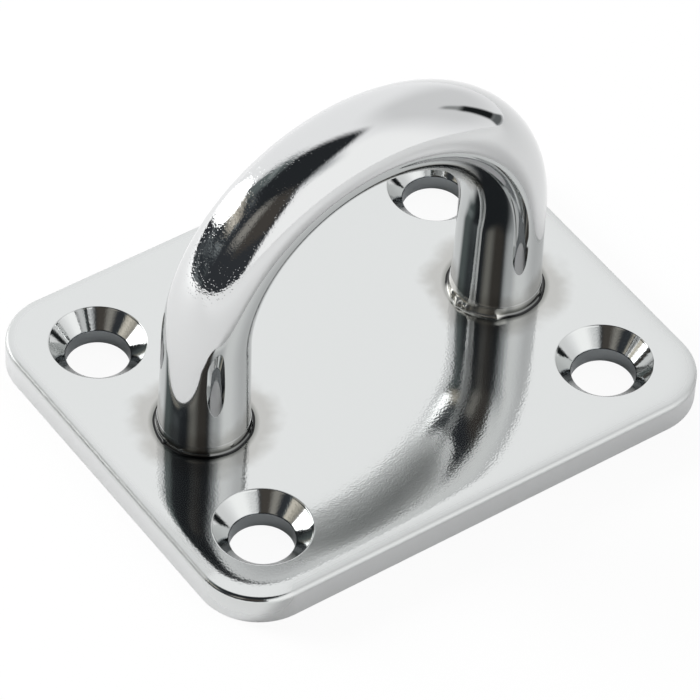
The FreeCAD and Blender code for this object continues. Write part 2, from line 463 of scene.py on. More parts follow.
@dataclass(frozen=True)
class PolishedBar:
    """Drawn 316 bar, bent cold and buffed to a mirror.

    The eye sees a crisp mirror along the legs. The outside of the bend was stretched, and its grain stands
    up as an orange peel with fine pits that speckles the edges of dark reflections. The inside was pinched,
    and the wheel didn't reach it, so it is grainy and dull. Peel and pits are drawn coarser than real ones,
    which are too fine to show.
    """

    name: str = "mirror_polished_stainless_bar"
    steel: str = "#CECFCF"
    roughness: float = 0.04
    inner_roughness: float = 0.55
    pit_spacing: float = 0.17
    pit_width: float = 0.42
    pit_depth: float = 0.0075
    # Each cell has a random value: below the first of these it has no pit, and above the second a full one.
    pit_choice: tuple[float, float] = (0.48, 0.56)
    # How strong the peel is where the bar wasn't stretched, and where it was stretched this much or more.
    stretch_full: float = 0.9
    peel_shares: tuple[float, float] = (0.02, 0.9)
    peel_grain: float = 0.22
    peel_depth: float = 0.008
    pinch_grain: float = 0.3
    pinch_depth: float = 0.045
    wave_length: float = 5.0
    wave_depth: float = 0.006
    stretch_attribute: str = "stretch"
    pinch_attribute: str = "pinch"

    def material(self) -> Material:
        """Build the finish.

        Returns:
            The material.
        """
        made = new_material(self.name)
        tree = made.node_tree
        place = add_node(tree, "ShaderNodeTexCoord").outputs["Object"]
        stretch, pinch = (
            add_node(tree, "ShaderNodeAttribute", {"attribute_name": name}).outputs["Fac"]
            for name in (self.stretch_attribute, self.pinch_attribute))
        peel_share = add_node(
            tree, "ShaderNodeMapRange", EASED,
            {"Value": stretch, "From Max": self.stretch_full, "To Min": self.peel_shares[0],
             "To Max": self.peel_shares[1]}).outputs["Result"]
        inner = add_node(
            tree, "ShaderNodeMapRange", EASED,
            {"Value": pinch, "To Min": self.roughness, "To Max": self.inner_roughness})
        normal = polished_bumps(
            tree, place, (self.peel_grain, self.peel_depth, peel_share),
            (self.pinch_grain, self.pinch_depth, pinch), (self.wave_length, self.wave_depth, None))
        normal = self.pitted(tree, place, peel_share, normal)
        return bare_steel(made, linear(self.steel), inner.outputs["Result"], normal)

    def pitted(self, tree: Tree, place: Socket, share: Socket, normal: Socket) -> Socket:
        """Sink scattered fine pits where the grain was opened by the bend.

        Args:
            tree: The material's node tree.
            place: Object coordinates.
            share: How strong the pits are.
            normal: The normal before them.

        Returns:
            The pitted normal.
        """
        cells = add_node(
            tree, "ShaderNodeTexVoronoi", {"feature": "F1"},
            {"Vector": place, "Scale": 1 / (self.pit_spacing * METRES)})
        dimple = add_node(
            tree, "ShaderNodeMapRange", EASED,
            {"Value": cells.outputs["Distance"], "From Max": self.pit_width})
        chosen = add_node(
            tree, "ShaderNodeMapRange", None,
            {"Value": cells.outputs["Color"],
             "From Min": self.pit_choice[0], "From Max": self.pit_choice[1]})
        strength = add_node(
            tree, "ShaderNodeMath", {"operation": "MULTIPLY"}, {0: chosen.outputs["Result"], 1: share})
        bump = add_node(
            tree, "ShaderNodeBump", None,
            {"Height": dimple.outputs["Result"], "Distance": self.pit_depth * METRES,
             "Strength": strength.outputs[0], "Normal": normal})
        return bump.outputs["Normal"]


@dataclass(frozen=True)
class PolishedWeld:
    """Weld metal run round the foot and blended into the bar with a felt bob.

    The eye sees a grey hollow face that runs out into the bar's bright steel, and a dark line where the toe
    meets the sheet. The face's grey is painted shade in the bead's hollow, over weld metal a little greyer
    than the bar, and the toe's dark line is painted contact shadow. Where more metal was laid than the bob
    could blend, the bead is satin and glints on its lumps, and a painted highlight makes its face cream and
    its toe light.
    """

    name: str = "buffed_weld_bead"
    # The face's dark grey is painted shade in the bead's hollow, over weld metal a little greyer than the
    # bar.
    face: str = "#6C6E6D"
    # The toe's near-black is painted contact shadow where the bead meets the sheet.
    toe: str = "#313232"
    # The heavy side's light toe is a painted highlight.
    heavy_toe_painted_highlight: str = "#A8A9A5"
    bar: str = "#CECFCF"
    # The lumps' cream is a painted highlight on the heavy side.
    lumps: str = "#DEDDD8"
    roughness: float = 0.06
    lumps_roughness: float = 0.2
    lump_length: float = 0.9
    lump_depth: float = 0.04
    heavy_start: float = 0.2
    # Shares of the bead's height between which the painted toe shadow turns to the face's painted shade,
    # and that shade to the bar's steel.
    toe_shadow_climb: tuple[float, float] = (0.04, 0.16)
    face_shade_run_out: tuple[float, float] = (0.20, 0.85)
    lumps_and_highlight_attribute: str = "lumps_and_highlight"

    def material(self, bead_foot: float, bead_top: float) -> Material:
        """Build the finish.

        Args:
            bead_foot: Height of the bead's toe, in millimetres.
            bead_top: Height of its upper end.

        Returns:
            The material.
        """
        made = new_material(self.name)
        tree = made.node_tree
        place = add_node(tree, "ShaderNodeTexCoord").outputs["Object"]
        height = add_node(tree, "ShaderNodeSeparateXYZ", None, {0: place}).outputs["Z"]
        # The heavy side's share: its lumps, and its painted highlight.
        marked = add_node(tree, "ShaderNodeAttribute", {"attribute_name": self.lumps_and_highlight_attribute})
        lumps_and_highlight = marked.outputs["Fac"]
        bead_height = bead_top - bead_foot
        climb, run_out = (
            add_node(
                tree, "ShaderNodeMapRange", EASED,
                {"Value": height, "From Min": (bead_foot + start * bead_height) * METRES,
                 "From Max": (bead_foot + end * bead_height) * METRES})
            for start, end in (self.toe_shadow_climb, self.face_shade_run_out))
        # Painted shade on the bead's face, fading into the bar's steel higher up.
        shaded_face = add_node(
            tree, "ShaderNodeMix", COLOUR_MIX,
            {"Factor": run_out.outputs["Result"], "A": linear(self.face), "B": linear(self.bar)})
        # Painted highlight on the heavy side's face.
        face = add_node(
            tree, "ShaderNodeMix", COLOUR_MIX,
            {"Factor": lumps_and_highlight, "A": shaded_face.outputs["Result"], "B": linear(self.lumps)})
        heavy = add_node(
            tree, "ShaderNodeMapRange", EASED,
            {"Value": lumps_and_highlight, "From Min": self.heavy_start, "From Max": 1.0})
        # Painted contact shadow at the toe, lighter on the heavy side with a painted highlight.
        toe = add_node(
            tree, "ShaderNodeMix", COLOUR_MIX,
            {"Factor": heavy.outputs["Result"], "A": linear(self.toe), "B": linear(self.heavy_toe_painted_highlight)})
        painted_bead_colour = add_node(
            tree, "ShaderNodeMix", COLOUR_MIX,
            {"Factor": climb.outputs["Result"], "A": toe.outputs["Result"], "B": face.outputs["Result"]})
        normal = polished_bumps(tree, place, (self.lump_length, self.lump_depth, lumps_and_highlight))
        missed = add_node(
            tree, "ShaderNodeMapRange", None,
            {"Value": lumps_and_highlight, "To Min": self.roughness, "To Max": self.lumps_roughness})
        return bare_steel(made, painted_bead_colour.outputs["Result"], missed.outputs["Result"], normal)


@dataclass(frozen=True)
class GroundWeld:
    """Weld metal ground flush with a belt, under the plate.

    The eye sees a dull satin disc with straight grit lines along one direction, drawn coarser than a belt
    leaves them, so that they show.
    """

    name: str = "belt_ground_weld"
    metal: str = "#BDBAB4"
    roughness: float = 0.36
    line_spacing: float = 0.12
    line_depth: float = 0.01
    line_stretch: float = 25.0

    def material(self) -> Material:
        """Build the finish.

        Returns:
            The material.
        """
        made = new_material(self.name)
        tree = made.node_tree
        place = add_node(tree, "ShaderNodeTexCoord").outputs["Object"]
        along = add_node(
            tree, "ShaderNodeMapping", None, {"Vector": place, "Scale": (1 / self.line_stretch, 1.0, 1.0)})
        normal = polished_bumps(tree, along.outputs[0], (self.line_spacing, self.line_depth, None))
        return bare_steel(made, linear(self.metal), self.roughness, normal)


@dataclass
class BasePlate:
    """The countersunk plate, with its leg holes chamfered underneath for the weld."""

    sizes: PadEyeSizes
    material: Material
    finish: PolishedSheet
    corner_radius: float = 5.6
    top_rounding: float = 0.5
    # The worn band beside the edge: its width, its steepest slope, and the power of its curve.
    buffed_width: float = 2.2
    buffed_slope: float = 0.13
    wear_power: int = 3
    buffed_steps: int = 10
    flat_margin: float = 0.08
    bright_corner: float = 0.95
    bottom_rounding: float = 0.2
    countersink_radius: float = 4.3
    leg_clearance: float = 0.05
    rim_break: float = 0.05
    rim_flat: float = 0.05
    off_floor: float = 0.01
    hole_steps: int = 128
    corner_steps: int = 24
    rounding_steps: int = 8

    def build(self) -> bpy.types.Object:
        """Model the plate: a rounded block, its holes turned, then its two flat faces filled round them.

        Returns:
            The finished piece.
        """
        mesh = self.rounded_block()
        for corner_x in (-1, 1):
            for corner_y in (-1, 1):
                self.turn_screw_hole(mesh, corner_x, corner_y)
        for side in Side:
            self.turn_leg_hole(mesh, self.sizes.foot(side))
        for height, up in ((self.sizes.plate_thickness, 1.0), (0.0, -1.0)):
            bmesh.ops.triangle_fill(
                mesh, use_beauty=True, use_dissolve=False, normal=(0.0, 0.0, up),
                edges=level_edges(mesh, height, open_only=True))
        piece = finish_piece("polished_base_plate", mesh, self.material, "base_plate", True)
        self.mark_rim(piece)
        return piece

    def mark_rim(self, piece: bpy.types.Object) -> None:
        """Store where the wheel dulled the sheet, 1 on the wall and its rounding, and where the bores are.

        The rounding of one corner was buffed last and stayed bright. The bores take painted shade, and the
        wall's share also carries the wall's painted light.

        Args:
            piece: The finished plate.
        """
        sizes = self.sizes
        corner = self.corner_radius
        wall_top = sizes.plate_thickness - 2 * self.top_rounding
        throat = sizes.plate_thickness - (self.countersink_radius - sizes.screw_radius)
        bore_top = throat + 2 * self.rim_break
        rims = []
        bores = []
        for vert in piece.data.vertices:
            place = vert.co / METRES
            past_x = abs(place.x) - (sizes.plate_length / 2 - corner)
            past_y = abs(place.y) - (sizes.plate_width / 2 - corner)
            inward = corner - math.hypot(max(past_x, 0.0), max(past_y, 0.0))
            share = (self.finish.rim_reach - inward) / (self.finish.rim_reach - self.finish.rim_full)
            share = clamped(share) if place.z > self.off_floor else 0.0
            if place.x < 0 and place.y < 0 and past_x > 0 and past_y > 0 and place.z > wall_top:
                share *= 1 - self.bright_corner * math.sqrt(math.sin(2 * math.atan2(past_y, past_x)))
            rims.append(share)
            # Each hole below its countersink takes painted shade.
            bores.append(1.0 if share == 0 and self.off_floor < place.z < bore_top else 0.0)
        store(piece, self.finish.rim_attribute, rims)
        store(piece, self.finish.bore_shade_attribute, bores)

    def rounded_block(self) -> BMesh:
        """Model the plate's outer walls and roundings, open above and below.

        Returns:
            The mesh, in millimetres.
        """
        sizes = self.sizes
        rim = self.upper_rim()
        wall_top = sizes.plate_thickness - sum(rise for inward, rise in rim)
        mesh = bmesh.new()
        stretch = Matrix.Diagonal((sizes.plate_length, sizes.plate_width, wall_top, 1.0))
        lift = Matrix.Translation((0.0, 0.0, wall_top / 2))
        bmesh.ops.create_cube(mesh, size=1.0, matrix=lift @ stretch)
        uprights = [e for e in mesh.edges if abs(e.verts[0].co.z - e.verts[1].co.z) > SAME_PLACE]
        bmesh.ops.bevel(
            mesh, geom=uprights, offset=self.corner_radius, offset_type="OFFSET", affect="EDGES",
            segments=self.corner_steps, profile=0.5, material=-1)
        bmesh.ops.bevel(
            mesh, geom=level_edges(mesh, 0.0, open_only=False), offset=self.bottom_rounding,
            offset_type="OFFSET", affect="EDGES", segments=self.rounding_steps, profile=0.5, material=-1)
        bmesh.ops.recalc_face_normals(mesh, faces=mesh.faces)
        top = max(mesh.faces, key=lambda face: face.calc_center_median().z)
        for inward, rise in rim:
            bmesh.ops.inset_region(
                mesh, faces=[top], thickness=inward, depth=rise, use_even_offset=True, use_boundary=True)
        # The two broad flat faces go, so that they can be filled round the holes later.
        level, broad = 0.999, 100.0
        flats = [f for f in mesh.faces if abs(f.normal.z) > level and f.calc_area() > broad]
        bmesh.ops.delete(mesh, geom=flats, context="FACES_ONLY")
        return mesh

    def upper_rim(self) -> list[Point]:
        """List the steps, inward and up, from the plate's wall to its flat top.

        The buffing wheel rounds the edge over and wears the sheet down a little beside it, which bends what
        the sheet mirrors there.

        Returns:
            The steps, from the wall to the flat.
        """
        radius = self.top_rounding
        steepest = 90.0 - math.degrees(math.atan(self.buffed_slope))
        points = [
            (radius - inward, height)
            for inward, height in arc((0.0, 0.0), radius, 0.0, steepest, self.rounding_steps)]
        start, level = points[-1]
        deepest = self.buffed_slope * self.buffed_width / self.wear_power
        for step in range(1, self.buffed_steps + 1):
            share = step / self.buffed_steps
            worn = deepest * (1 - (1 - share) ** self.wear_power)
            points.append((start + share * self.buffed_width, level + worn))
        points.append((points[-1][0] + self.flat_margin, points[-1][1]))
        return [(b[0] - a[0], b[1] - a[1]) for a, b in zip(points, points[1:])]

    def turn_screw_hole(self, mesh: BMesh, corner_x: int, corner_y: int) -> None:
        """Turn one countersink and the hole below it.

        Args:
            mesh: The plate's mesh.
            corner_x: The sign of the hole's X.
            corner_y: The sign of its Y.
        """
        top = self.sizes.plate_thickness
        spacing_x, spacing_y = self.sizes.screw_spacing
        centre = Vector((corner_x * spacing_x / 2, corner_y * spacing_y / 2, 0.0))
        bore = self.sizes.screw_radius
        sink = self.countersink_radius
        throat = top - (sink - bore)
        ease = self.rim_break
        profile = [
            (sink + self.rim_flat, top), (sink, top), (sink - ease, top - ease / 2),
            (sink - 2 * ease, top - 2 * ease), (sink - 3 * ease, top - 3 * ease),
            (bore + 2 * ease, throat + 2 * ease), (bore + ease, throat + ease),
            (bore, throat - ease), (bore, throat - 2 * ease), (bore, ease), (bore + ease, 0.0)]
        turned(mesh, profile, centre, self.hole_steps)

    def turn_leg_hole(self, mesh: BMesh, centre: Vector) -> None:
        """Turn the hole that a leg passes through, with the chamfer that the underside weld fills.

        Args:
            mesh: The plate's mesh.
            centre: The point on the leg's axis at the deck.
        """
        sizes = self.sizes
        bore = sizes.bar_radius + self.leg_clearance
        profile = [(bore, sizes.plate_thickness), (bore, sizes.fill_depth), (sizes.fill_radius, 0.0)]
        turned(mesh, profile, centre, self.hole_steps)


@dataclass
class Bow:
    """The round bar bent to a half circle, with its two straight legs down through the plate.

    The left shoulder was bent first and shows its grain most. The right one was buffed nearly smooth.
    """

    sizes: PadEyeSizes
    material: Material
    finish: PolishedBar
    end_break: float = 0.15
    flare: float = 0.22
    flare_power: float = 1.3
    flare_gap: float = 0.05
    flare_steps: int = 20
    # Between these places along X the stretched skin goes from its roughest to its least rough.
    roughest_x: float = -14.0
    smoothest_x: float = 4.0
    least_rough: float = 0.10
    # How far above the legs the stretched skin starts, and over how much height it grows to its full.
    stretch_start: float = 4.6
    stretch_fade: float = 4.0
    # The pinched skin: where it starts and over how much it grows, as shares of the bar's radius, and how
    # far from the middle it reaches.
    pinch_start: float = 0.45
    pinch_width: float = 0.45
    pinch_reach: float = 10.8
    pinch_fade: float = 3.0
    round_steps: int = 144
    arch_steps: int = 96

    def build(self) -> bpy.types.Object:
        """Model one leg and half the arch, and mirror them.

        Returns:
            The finished piece.
        """
        sizes = self.sizes
        mesh = bmesh.new()
        foot = sizes.foot(Side.LEFT)
        bmesh.ops.create_circle(
            mesh, cap_ends=True, radius=sizes.bar_radius - self.end_break, segments=self.round_steps,
            matrix=Matrix.Translation(foot))
        ring = list(mesh.edges)
        for height, radius in self.leg_rings():
            ring = self.raise_ring(mesh, ring, foot, height, radius)
        bmesh.ops.spin(
            mesh, geom=ring, cent=(0.0, 0.0, sizes.arch_height), axis=(0.0, 1.0, 0.0),
            angle=math.pi / 2, steps=self.arch_steps, use_merge=False)
        bmesh.ops.mirror(
            mesh, geom=mesh.verts[:] + mesh.edges[:] + mesh.faces[:], axis="X", merge_dist=10 * SAME_PLACE)
        piece = finish_piece("polished_bow", mesh, self.material, "bow", True)
        self.mark_stretch(piece)
        return piece

    def leg_rings(self) -> list[Point]:
        """List the rings up a leg: its eased end, the plate, and the flare up to the bend.

        Returns:
            Height and radius of each ring.
        """
        sizes = self.sizes
        bar = sizes.bar_radius
        rings = [(self.end_break, bar), (sizes.plate_thickness, bar)]
        start = sizes.plate_thickness + self.flare_gap
        for step in range(self.flare_steps + 1):
            share = step / self.flare_steps
            height = start + share * (sizes.arch_height - start)
            rings.append((height, bar + self.flare * (1 - share) ** self.flare_power))
        return rings

    def raise_ring(
        self, mesh: BMesh, ring: list[BMEdge], foot: Vector, height: float, radius: float
    ) -> list[BMEdge]:
        """Extrude a ring of edges up the leg.

        Args:
            mesh: The bow's mesh.
            ring: The ring's edges.
            foot: The point on the leg's axis at the deck.
            height: Where the new ring lies.
            radius: How wide it is.

        Returns:
            The new ring's edges.
        """
        made = bmesh.ops.extrude_edge_only(mesh, edges=ring)["geom"]
        verts = [item for item in made if isinstance(item, BMVert)]
        size = (verts[0].co - foot).to_2d().length
        to_axis = Matrix.Translation(-foot)
        bmesh.ops.scale(mesh, vec=(radius / size, radius / size, 1.0), verts=verts, space=to_axis)
        bmesh.ops.translate(mesh, vec=(0.0, 0.0, height - verts[0].co.z), verts=verts)
        return [item for item in made if isinstance(item, BMEdge)]

    def mark_stretch(self, piece: bpy.types.Object) -> None:
        """Store how the bend left each point of the bar: its stretch outside and its pinch inside, 0 to 1.

        Args:
            piece: The finished bow.
        """
        sizes = self.sizes
        bend_radius = sizes.leg_spacing / 2
        stretches = []
        pinches = []
        for vert in piece.data.vertices:
            place = vert.co / METRES
            rise = place.z - sizes.arch_height
            share = (math.hypot(place.x, max(rise, 0.0)) - bend_radius) / sizes.bar_radius
            left = (self.smoothest_x - place.x) / (self.smoothest_x - self.roughest_x)
            climb = clamped((rise - self.stretch_start) / self.stretch_fade)
            stretches.append(max(share, 0.0) * clamped(left, self.least_rough) * climb)
            inside = clamped((-share - self.pinch_start) / self.pinch_width)
            middle = clamped((self.pinch_reach - abs(place.x)) / self.pinch_fade)
            pinches.append(inside * middle if rise > 0 else 0.0)
        store(piece, self.finish.stretch_attribute, stretches)
        store(piece, self.finish.pinch_attribute, pinches)


@dataclass(frozen=True)
class Droplet:
    """One drop of weld metal that the bob left standing.

    Its turn round the leg is in degrees, and its height, its size and how far it stands in millimetres.
    """

    side: Side
    turn: float
    height: float
    size: float
    stand: float

    def swell(self, side: Side, turn: float, height: float, radius: float) -> float:
        """Give how far the drop pushes out one point of the bead.

        Args:
            side: Which foot's bead.
            turn: The point's angle round the leg, in radians.
            height: Its height above the deck.
            radius: The leg's radius.

        Returns:
            The push, in millimetres.
        """
        if side is not self.side:
            return 0.0
        apart = math.remainder(turn - math.radians(self.turn), math.tau) * radius
        reach = math.hypot(apart, height - self.height) / self.size
        return self.stand * math.exp(-reach * reach)


DROPLETS = (
    Droplet(Side.RIGHT, 171.0, 3.50, 0.40, 0.20),
    Droplet(Side.RIGHT, -175.0, 3.32, 0.34, 0.34),
    Droplet(Side.RIGHT, -163.0, 3.36, 0.26, 0.24),
    Droplet(Side.RIGHT, -124.0, 3.14, 0.17, 0.14),
    Droplet(Side.RIGHT, -58.0, 3.60, 0.16, 0.07),
    Droplet(Side.LEFT, -177.0, 3.12, 0.16, 0.12),
    Droplet(Side.LEFT, -152.0, 3.20, 0.14, 0.12),
    Droplet(Side.LEFT, -88.0, 3.70, 0.12, 0.06),
)


@dataclass
class WeldBead:
    """The bead of weld round one foot, on the plate's top face."""

    sizes: PadEyeSizes
    material: Material
    finish: PolishedWeld
    side: Side
    blend: float = 0.225
    spread: float = 0.08
    toe_radius: float = 0.34
    # The toe wanders in and out by this much, in small lumps and in longer swells round the leg.
    lump: float = 0.03
    lumps_round: int = 11
    swells_round: int = 5
    swell_share: float = 0.8
    swell_phase: float = 2.1
    # One side of one bead has extra metal, up to this thick, and it ends at these cosines of the turn.
    heavy_side: Side = Side.RIGHT
    heavy_turn: float = -165.0
    heavy_metal: float = 0.18
    heavy_edge: float = 0.60
    heavy_fade: float = 0.20
    least_lumpy: float = 0.08
    droplets: tuple[Droplet, ...] = DROPLETS
    drop_start: float = 0.1
    round_steps: int = 192
    toe_steps: int = 10
    face_steps: int = 8

    def build(self) -> bpy.types.Object:
        """Turn the bead's hollow section round the leg and give it the slight lumps of a hand-run weld.

        Returns:
            The finished piece.
        """
        sizes = self.sizes
        base = sizes.plate_thickness
        top = sizes.bead_top
        inner = sizes.bar_radius
        outer = sizes.bead_radius + self.spread
        toe = arc((outer, base + self.toe_radius), self.toe_radius, 270.0, 180.0, self.toe_steps)
        start_out, start_up = toe[-1]
        end_out = inner + self.blend
        shares = [step / self.face_steps for step in range(1, self.face_steps + 1)]
        face = [
            (end_out + (start_out - end_out) * (1 - share) ** 2, start_up + share * (top - start_up))
            for share in shares]
        profile = [(inner, base)] + toe + face + [(inner, top), (inner, base)]
        mesh = bmesh.new()
        foot = sizes.foot(self.side)
        verts = turned(mesh, profile, foot, self.round_steps)
        self.run_by_hand(verts, foot)
        word = self.side.word
        piece = finish_piece(
            f"{word}_foot_bead", mesh, self.material, f"{word}_weld_bead", False)
        self.mark_lumps_and_highlight(piece, foot)
        return piece

    def laid_on(self, turn: float) -> float:
        """Give how much extra metal lies at one angle round the leg.

        Args:
            turn: The angle, in radians.

        Returns:
            A share, from 0 to 1.
        """
        if self.side is not self.heavy_side:
            return 0.0
        near = math.cos(turn - math.radians(self.heavy_turn))
        return clamped((near - self.heavy_edge) / self.heavy_fade)

    def run_by_hand(self, verts: list[BMVert], foot: Vector) -> None:
        """Pull the bead's outer face in and out a little, as a hand-run weld wanders.

        Args:
            verts: The bead's vertices.
            foot: The point on the leg's axis at the deck.
        """
        inner = self.sizes.bar_radius
        width = self.sizes.bead_radius - inner
        for vert in verts:
            out = (vert.co - foot).to_2d()
            share = max((out.length - inner) / width, 0.0)
            turn = math.atan2(out.y, out.x)
            lumps = math.sin(self.lumps_round * turn + self.side.value)
            swells = math.sin(self.swells_round * turn + self.swell_phase * self.side.value)
            pull = self.lump * share * (lumps + self.swell_share * swells - 1) / 2
            pull += self.heavy_metal * self.laid_on(turn) * min(2 * share, 1.0)
            if share > self.drop_start:
                pull += sum(drop.swell(self.side, turn, vert.co.z, inner) for drop in self.droplets)
            vert.co.x += out.normalized().x * pull
            vert.co.y += out.normalized().y * pull

    def mark_lumps_and_highlight(self, piece: bpy.types.Object, foot: Vector) -> None:
        """Store where the bead's lumps and its painted highlight lie: 1 where the extra metal lies, and
        little elsewhere.

        Args:
            piece: The finished bead.
            foot: The point on the leg's axis at the deck.
        """
        values = []
        for vert in piece.data.vertices:
            out = vert.co / METRES - foot
            values.append(max(self.laid_on(math.atan2(out.y, out.x)), self.least_lumpy))
        store(piece, self.finish.lumps_and_highlight_attribute, values)


@dataclass
class UndersideWeld:
    """The weld that fills the chamfer under one leg hole, ground flush with the plate."""

    sizes: PadEyeSizes
    material: Material
    side: Side
    clearance: float = 0.05
    round_steps: int = 128

    def build(self) -> bpy.types.Object:
        """Turn the fill's section round the leg.

        Returns:
            The finished piece.
        """
        sizes = self.sizes
        inner = sizes.bar_radius
        profile = [
            (inner, 0.0), (sizes.fill_radius, 0.0), (inner + self.clearance, sizes.fill_depth),
            (inner, sizes.fill_depth), (inner, 0.0)]
        mesh = bmesh.new()
        turned(mesh, profile, sizes.foot(self.side), self.round_steps)
        word = self.side.word
        return finish_piece(
            f"{word}_ground_fill", mesh, self.material, f"{word}_underside_weld", True)


@dataclass(frozen=True)
class Card:
    """One patch of the studio, as seen from the part: its corners are azimuth and elevation in degrees.

    The corners run anticlockwise as seen from above, and make a convex patch under half the sky. A card
    with a streak colour carries soft level streaks of it, as shelves and rails in a dark room do.
    """

    name: str
    corners: tuple[tuple[float, float], ...]
    glow: str
    level: float = 1.0
    softness: float = 2.0
    streak: str | None = None


STUDIO_CARDS = (
    Card("bright_sweep", ((-112, -25), (-48, -25), (-52, 50), (-104, 50)), "#FFFFFF", 1.32, 9.0),
    Card("grey_sweep", ((-40, -2), (38, -2), (32, 62), (-36, 60)), "#FAFAFB", 0.95, 14.0),
    Card("dark_room", ((92, -30), (249, -30), (250, 32), (120, 32)), "#393C40", 1.0, 3.0),
    Card("dark_wall", ((123, 26), (250, 26), (248, 46), (129, 62)), "#36393C", 1.0, 3.0),
    Card("ceiling_haze", ((-118, 38), (-84, 40), (-84, 62), (-118, 58)), "#CACCCE", 1.0, 8.0),
    Card(
        "open_ceiling", ((-119, 36), (-62, 60), (-34, 65), (124, 66), (150, 50), (-160, 40)),
        "#2D3033", 1.0, 6.0),
    Card("shelves", ((124, -6), (178, -3), (178, 44), (132, 42)), "#393D41", 1.0, 5.0, "#8C9294"),
    Card("grey_wall", ((122.5, 33), (148, 36), (142, 64), (114, 66)), "#6E7676", 1.0, 7.0, "#A2AAAA"),
    Card("brown_shelf", ((-148, 15), (-113, 13), (-117, 46), (-144, 50)), "#4F4B47", 1.0, 5.0),
    Card("far_window", ((-168, 24), (-148, 21), (-143, 47), (-162, 45)), "#9B9892", 1.0, 6.0),
    Card("lamp_spill", ((130, 20), (172, 27), (172, 37), (134, 36)), "#BDB7AB", 1.0, 3.0, "#FFF8EA"),
    Card(
        "soft_box", ((90, -16), (102, -8), (141, 20), (144, 32), (119, 31), (101, 10)),
        "#FFFFFF", 3.0, 1.5),
    Card("stand_head", ((-15, 13), (-5, 13), (-8, 28), (-14, 28)), "#A2A4A4", 1.0, 3.0),
    Card("stand_stem", ((-15, -3), (-1.5, -3), (-5.0, 17), (-15, 17)), "#1E2122", 1.0, 2.5),
    Card("stand_foot", ((-19, -8), (3, -7), (-2, -2), (-15, -2)), "#6C6F70", 1.0, 1.5),
)


